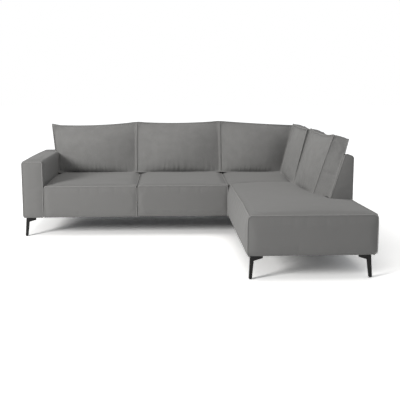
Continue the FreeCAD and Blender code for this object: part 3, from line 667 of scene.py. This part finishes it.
# Backs: raked frames padded with foam and wrapped in cloth, upright outside, with a top that rises
# to the inner face. The side back ends in a panel of its own, sewn round its edge.
back_foot = 0.165
back_top = 0.070
knee = 0.440
rake = (back_foot - back_top) / (back_high.z - knee)
back_base = back_low.z + 0.003
outer_fall = 0.026
bevel = 0.014
inner_round = 0.012
inner_fall = 0.010
top_padding = 0.020
beside_arm = 0.0015
beside_seam = 0.0004
corner_room = 0.002
back_padding = {"swell": 0.002, "rounds": 1, "growth": 0.003, "most": 0.004}


def raked_face(outer, z):
    """Place of a back's inner face at a height, measured from its outer face."""
    return outer - back_foot + rake * max(0, z - knee)


def back_outline(outer, top):
    """Outline of a back, highest towards its inner face."""
    inner = raked_face(outer, top)
    heel = raked_face(outer, knee)
    return [(outer, back_base), (outer, top - outer_fall), (outer - bevel, top - bevel),
            (inner + inner_round, top), (inner, top - inner_fall), (heel, knee), (heel, back_base)]


def in_hem(co):
    """Whether a point lies in the cloth's fixed lower edge."""
    return co.z < hem_height


main_low, main_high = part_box("main_back_cover")
corner_back_low, corner_back_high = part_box("corner_back_cover")
top = main_high.z + top_padding
mesh = cut_block(back_outline(main_high.y, top), 0, main_low.x - beside_arm,
                 main_high.x + beside_seam, cell)
upholster("main_back", mesh, [], in_hem, "sofa", ("main_back_cover", "main_back_foam"), seed=19,
          **back_padding)
mesh = cut_block(back_outline(corner_back_high.y, top), 0, corner_back_low.x,
                 corner_back_high.x, cell)
for vert in mesh.verts:
    share = (vert.co.x - corner_back_low.x) / (corner_back_high.x - corner_back_low.x)
    end = raked_face(back_high.x, vert.co.z) - corner_room
    vert.co.x = corner_back_low.x + share * (end - corner_back_low.x)
upholster("corner_back", mesh, [], in_hem, "sofa", ("corner_back_cover", "corner_back_foam"),
          seed=23, **back_padding)
side_outline = back_outline(back_high.x, top)
mesh = cut_block(side_outline, 1, back_low.y, back_high.y, cell)
end_seam = seam_through(mesh, [(first, back_low.y, second) for first, second in side_outline])
upholster("side_back", mesh, [end_seam], in_hem, "sofa", ("side_back_cover", "side_back_foam"),
          seed=29, radius=0.0024, **back_padding)

# Loose back cushions: a front and a back panel sewn to a band, with piping on both seams, filled
# with fibre. Corners stand out as small ears, the sides pull in, and the cloth gathers along the
# seams. Their cloth is the sofa's painted slightly lighter: painted light for the extra light that
# falls on the cushions.
cushion_cloth_painted_lighter = sofa_cloth("grey_cushion_cloth_painted_lighter", (0.159, 0.158, 0.156), (0.217, 0.216, 0.213),
                           (0.289, 0.287, 0.283), weave)
band = 0.108
cushion_cell = 0.0105
cushion_growth = 0.012
panel_travel = 0.010
band_travel = 0.006
touch = 0.0025
puff = 0.006
above_backs = 0.024
above_arm = 0.02
fold_width = 0.020
fine_fold_width = 0.012
fold_length = 0.046
fold_spread = 0.026
fold_start = 0.006
foot_folds = 0.017
edge_folds = 0.0015
band_folds = 0.001
hollows = 0.005
crease_height = 0.40
crease_width = 0.025
crease_depth = 0.008
end_bulge = 0.010
rim_bulge = 0.008


def seat_top(x, y):
    """Height of whatever seat lies below a point."""
    if x < seat_boxes["left"][1].x:
        return seat_height(x, y, *seat_boxes["left"])
    if x < seat_boxes["right"][1].x:
        return seat_height(x, y, *seat_boxes["right"])
    if y < chaise_high.y:
        return chaise_height(x, y)
    return corner_height(y)


def gather(along, away, seed):
    """Small folds that start at a seam and fade away from it."""
    slant = along + 0.3 * away * noise.noise(Vector((along * 9, seed, 4)))
    fold = noise.noise(Vector((slant / fold_width, seed, 0))) + 0.5 * noise.noise(
        Vector((slant / fine_fold_width, seed, 9)))
    length = fold_length + fold_spread * noise.noise(Vector((along * 14, seed, 2)))
    return fold * math.exp(-away / length) * (1 - math.exp(-away / fold_start))


def back_cushion(name, corners, against, swell, sag, sag_place, pulls, limits, seed, skew=(0, 0)):
    """One cushion. corners are its front seam's: foot and head of one end, then of the other. pulls
    says how far its two ends draw in, skew how far the second end's band slants at foot and
    head."""
    foot_a, head_a, foot_b, head_b = [Vector(corner) for corner in corners]
    width = ((foot_b - foot_a).length + (head_b - head_a).length) / 2
    height = ((head_a - foot_a).length + (head_b - foot_b).length) / 2
    inward = (foot_b - foot_a).cross(head_a - foot_a).normalized()
    if inward.dot(Vector(against)) < 0:
        inward.negate()
    sizes = (width, height, band)
    mesh = bmesh.new()
    bmesh.ops.create_cube(mesh, size=1)
    bmesh.ops.translate(mesh, vec=(0.5, 0.5, 0.5), verts=mesh.verts)
    for axis in range(3):
        runs = [edge for edge in mesh.edges
                if abs(edge.verts[0].co[axis] - edge.verts[1].co[axis]) > 1e-6]
        bmesh.ops.subdivide_edges(mesh, edges=runs, cuts=round(sizes[axis] / cushion_cell) - 1,
                                  use_grid_fill=True)
    layer = mesh.loops.layers.uv.new("cloth")
    mesh.normal_update()
    for face in mesh.faces:
        facing = max(range(3), key=lambda number: abs(face.normal[number]))
        first, second = [(2, 1), (0, 2), (0, 1)][facing]
        for loop in face.loops:
            loop[layer].uv = (loop.vert.co[first] * sizes[first] + seed,
                              loop.vert.co[second] * sizes[second])
    mesh.verts.index_update()
    loops = {0: [], 1: []}
    caps = []
    for vert in mesh.verts:
        a, b, c = vert.co
        caps.append(panel_travel if c in (0, 1) else band_travel)
        if c in (0, 1) and (a in (0, 1) or b in (0, 1)):
            loops[round(c)].append((math.atan2(b - 0.5, a - 0.5), vert.index))
        low_point = foot_a.lerp(foot_b, a)
        high_point = head_a.lerp(head_b, a)
        along = (foot_b - foot_a).lerp(head_b - head_a, b).normalized()
        up = (high_point - low_point).normalized()
        middle_a = 4 * a * (1 - a)
        middle_b = 4 * b * (1 - b)
        sagging = max(0, 1 - ((a - sag_place) / max(sag_place, 1 - sag_place)) ** 2)
        place = low_point.lerp(high_point, b)
        place += along * middle_b * (pulls[0] * (1 - a) - pulls[1] * a)
        place -= up * sag * sagging * min(1, middle_a * 3) * b
        place += along * (skew[0] * (1 - b) + skew[1] * b) * a * c
        full = max(0, middle_a) * max(0, middle_b) ** (0.38 + 0.3 * b)
        place += inward * (band * c + swell * full * (1.15 - 0.3 * b) * (2 * c - 1))
        rim = 4 * c * (1 - c)
        if a in (0, 1):
            crease = math.exp(-((b - crease_height) / crease_width) ** 2)
            bulge = end_bulge * middle_b ** 0.5 - crease_depth * crease
            place += along * (2 * a - 1) * bulge * rim
            place += along * band_folds * gather(b * height, c * band, seed + 11)
        if b in (0, 1):
            place += up * (2 * b - 1) * rim_bulge * rim
        if c == 0:
            place -= inward * foot_folds * (0.3 + 0.7 * middle_a) * gather(
                a * width, b * height, seed)
            place -= inward * edge_folds * gather(a * width, (1 - b) * height, seed + 5)
            place -= inward * edge_folds * gather(b * height, (1 - a) * width, seed + 7)
            place -= inward * edge_folds * gather(b * height, a * width, seed + 8)
            place -= inward * hollows * full * noise.noise(
                Vector((a * width * 5, b * height * 5, seed)))
        vert.co = place
    seams = {side: [index for angle, index in sorted(found)] for side, found in loops.items()}
    piece = make_piece(name + "_cushion_upholstery", mesh, name + "_cushion", cushion_cloth_painted_lighter,
                       name + "_cushion_cover", name + "_cushion_core")
    fill_cloth(piece, seams[0] + seams[1], cushion_growth, caps)
    for vert in piece.data.vertices:
        vert.co = limits(vert.co)
    finish_cloth(piece, [seam + seam[:1] for seam in seams.values()])
    for side, label in ((0, "front"), (1, "rear")):
        points = [piece.data.vertices[index].co.copy() for index in seams[side]]
        welt(f"{name}_cushion_{label}_welt", points, True, name + "_cushion")


def between(low_x, high_x, low_y, high_y):
    """Keep a cushion's cloth off its neighbours, the seat below it and the backs behind it."""

    def limited(place):
        x = max(low_x, min(high_x, place.x))
        y = max(low_y, min(high_y, place.y))
        if place.z < back_high.z + above_backs:
            x = min(x, raked_face(back_high.x, place.z) - touch)
            y = min(y, raked_face(main_high.y, place.z) - touch)
        if place.z < arm_top + above_arm:
            x = max(x, arm_high.x + touch)
        return Vector((x, y, max(place.z, seat_top(x, y) + puff)))

    return limited


far = 9
foot_line = 0.800
head_line = 0.935
to_rear = (0, 1, 0)
to_right = (1, 0, 0)
back_cushion("left", [(-1.1175, foot_line, 0.472), (-1.188, head_line, 0.928),
                      (-0.3770, foot_line, 0.472), (-0.3770, head_line, 0.943)],
             to_rear, swell=0.096, sag=0.024, sag_place=0.42, pulls=(0, 0.003),
             limits=between(-far, -0.3760, -far, far), seed=1)
back_cushion("centre", [(-0.3740, foot_line, 0.472), (-0.3740, head_line, 0.944),
                        (0.4285, foot_line, 0.472), (0.4285, head_line, 0.951)],
             to_rear, swell=0.096, sag=0.015, sag_place=0.5, pulls=(0.003, 0.003),
             limits=between(-0.3750, 0.4295, -far, far), seed=2)
back_cushion("corner", [(0.4315, foot_line, 0.472), (0.4315, head_line, 0.951),
                        (1.020, foot_line, 0.464), (1.165, head_line, 0.908)],
             to_rear, swell=0.086, sag=0.004, sag_place=0.5, pulls=(0.003, 0.006),
             limits=between(0.4305, far, -far, far), seed=6)
back_cushion("side", [(1.000, 0.700, 0.472), (1.105, 0.680, 0.936),
                      (0.987, 0.084, 0.462), (1.099, 0.084, 0.920)],
             to_right, swell=0.056, sag=0.010, sag_place=0.5, pulls=(0.010, 0.004),
             limits=between(-far, far, 0.0805, 0.712), seed=4)
back_cushion("end", [(0.987, 0.076, 0.460), (1.127, 0.076, 0.926),
                     (1.040, -0.410, 0.455), (1.163, -0.500, 0.912)],
             to_right, swell=0.056, sag=0.022, sag_place=0.5, pulls=(0.004, 0.008),
             limits=between(-far, far, -far, 0.0795), seed=5, skew=(0.158, 0.032))

# Legs: each a clipped corner plate with two fins below it and a square tapering blade between them,
# in satin black powder coat over steel. They hang from the plates' screws, and a moulded black
# glide closes each foot.
def coat_nodes(material, *names):
    """Give CAD nodes that keep their shape their finish."""
    for name in names:
        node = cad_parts[name]
        node.data.materials.clear()
        node.data.materials.append(material)


def plain_finish(name, dark, light, roughness, metallic, scale, distance, stretch=(1, 1, 1)):
    """A finish with fine grain in its colour, its gloss and its relief."""
    material, nodes, links, surface = new_material(name)
    surface.inputs["Metallic"].default_value = metallic
    lay = nodes.new("ShaderNodeTexCoord").outputs["Object"]
    grain = add_noise(nodes, links, lay, scale, 4, stretch)
    colour = add_ramp(nodes, links, grain, (0.3, dark), (0.7, light))
    links.new(colour, surface.inputs["Base Color"])
    gloss = nodes.new("ShaderNodeMapRange")
    gloss.inputs["To Min"].default_value = roughness - 0.06
    gloss.inputs["To Max"].default_value = roughness + 0.08
    links.new(grain, gloss.inputs["Value"])
    links.new(gloss.outputs["Result"], surface.inputs["Roughness"])
    add_bump(nodes, links, surface, grain, distance, 0.5)
    return material


powder_coat = plain_finish("satin_black_powder_coat", (0.003, 0.003, 0.003), (0.007, 0.007, 0.007),
                           0.5, 0.0, 900, 0.00015)
powder_coat.node_tree.nodes["Principled BSDF"].inputs["Specular IOR Level"].default_value = 0.22
coat_nodes(powder_coat, "arm_front_leg", "arm_rear_leg", "chaise_left_leg", "chaise_right_leg",
           "corner_rear_leg")
nylon = plain_finish("moulded_black_nylon", (0.02, 0.02, 0.02), (0.035, 0.035, 0.035), 0.55, 0.0,
                     300, 0.0001)
coat_nodes(nylon, "foot_glides")

# Inside: planed timber and board, bare spring steel, zinc-plated fixings and webbing. Black lining
# cloth closes the underside and faces the long rails of the two-seat section. Little of this shows,
# but each keeps its own finish.
def timber(name, stretch):
    """Planed softwood whose grain runs along one axis."""
    material, nodes, links, surface = new_material(name)
    lay = nodes.new("ShaderNodeTexCoord").outputs["Object"]
    rings = add_noise(nodes, links, lay, 9, 5, stretch)
    fibre = add_noise(nodes, links, lay, 120, 3, stretch)
    tone = add_mix(nodes, links, ((rings, 0.75), (fibre, 0.3)))
    links.new(add_ramp(nodes, links, tone, (0.3, (0.36, 0.22, 0.11)), (0.5, (0.55, 0.38, 0.21)),
                       (0.72, (0.68, 0.51, 0.31))), surface.inputs["Base Color"])
    surface.inputs["Roughness"].default_value = 0.7
    add_bump(nodes, links, surface, fibre, 0.0004, 0.6)
    return material


along_x = timber("softwood_across", (0.12, 1, 1))
along_y = timber("softwood_lengthwise", (1, 0.12, 1))
along_z = timber("softwood_upright", (1, 1, 0.12))
coat_nodes(along_x, "main_spring_rail", "corner_end_rails", "corner_cross_rails",
           "main_back_top_rail", "corner_back_top_rail", "leg_blocks")
coat_nodes(along_y, "main_end_rails", "main_centre_rail", "corner_side_rails", "side_back_top_rail",
           "arm_base_board", "arm_side_boards", "arm_top_board")
coat_nodes(along_z, "main_back_posts", "corner_back_posts", "side_back_posts", "arm_end_boards")
stained = plain_finish("black_stained_softwood", (0.012, 0.010, 0.009), (0.035, 0.030, 0.026),
                       0.6, 0.0, 60, 0.0003, (1, 1, 0.12))
coat_nodes(stained, "support_posts")
spring_steel = plain_finish("bare_spring_steel", (0.30, 0.30, 0.31), (0.46, 0.46, 0.47), 0.35,
                            1.0, 200, 0.0001)
coat_nodes(spring_steel, "main_section_springs", "corner_section_springs", "spring_clips")
zinc = plain_finish("zinc_plated_steel", (0.52, 0.53, 0.55), (0.66, 0.67, 0.69), 0.3, 1.0, 150,
                    0.0001)
coat_nodes(zinc, "leg_screws", "link_plates", "link_hooks")
dust_cloth = plain_finish("black_dust_cloth", (0.014, 0.014, 0.015), (0.030, 0.030, 0.032), 0.85,
                          0.0, 700, 0.0003)
coat_nodes(dust_cloth, "main_under_cloth", "corner_under_cloth", "main_long_rails")
webbing = plain_finish("elastic_webbing", (0.10, 0.08, 0.06), (0.30, 0.25, 0.19), 0.85, 0.0, 350,
                       0.0006, (1, 1, 4))
coat_nodes(webbing, "back_straps")
